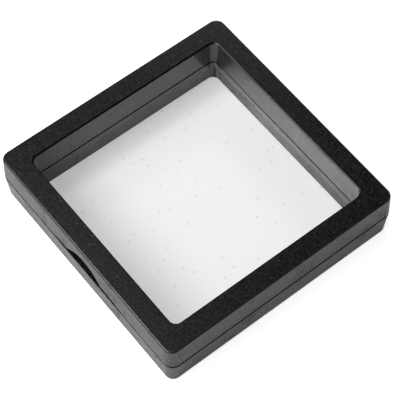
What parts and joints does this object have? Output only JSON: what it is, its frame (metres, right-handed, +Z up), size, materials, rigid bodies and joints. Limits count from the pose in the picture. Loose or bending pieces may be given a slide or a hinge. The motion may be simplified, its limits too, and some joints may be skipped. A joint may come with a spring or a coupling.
{
  "type": "floating display box",
  "caption": "Hinged square display box of black plastic that floats a small thing between two clear elastic films, with a thumb notch in its front edge.",
  "frame": {"origin": "in the rest face, under the middle of the whole box with its hinge barrels", "axes": "+Z up out of the window, -Y the opening side with the thumb notch, +Y the hinge side, +X to the right seen from the opening side"},
  "size_m": [0.09, 0.092, 0.02],
  "materials": {
    "frame_plastic": "fine spark-eroded grain on the faces, smoother drafted walls",
    "ring_plastic": "plain moulded black",
    "clear_film": "clear elastic film, slightly soft gloss",
    "pin_steel": "drawn steel wire"
  },
  "bodies": {
    "base": {"lower_frame": "frame_plastic", "lower_film": "clear_film", "lower_film_ring": "ring_plastic", "hinge_pin_left": "pin_steel", "hinge_pin_right": "pin_steel"},
    "lid": {"upper_frame": "frame_plastic", "upper_film": "clear_film", "upper_film_ring": "ring_plastic"}
  },
  "joints": [
    {"name": "lid_hinge", "type": "hinge", "parent": "base", "child": "lid", "pos_m": [0, 0.0443, 0.01035], "axis": [-1, 0, 0], "range_deg": [0, 180]}
  ]
}
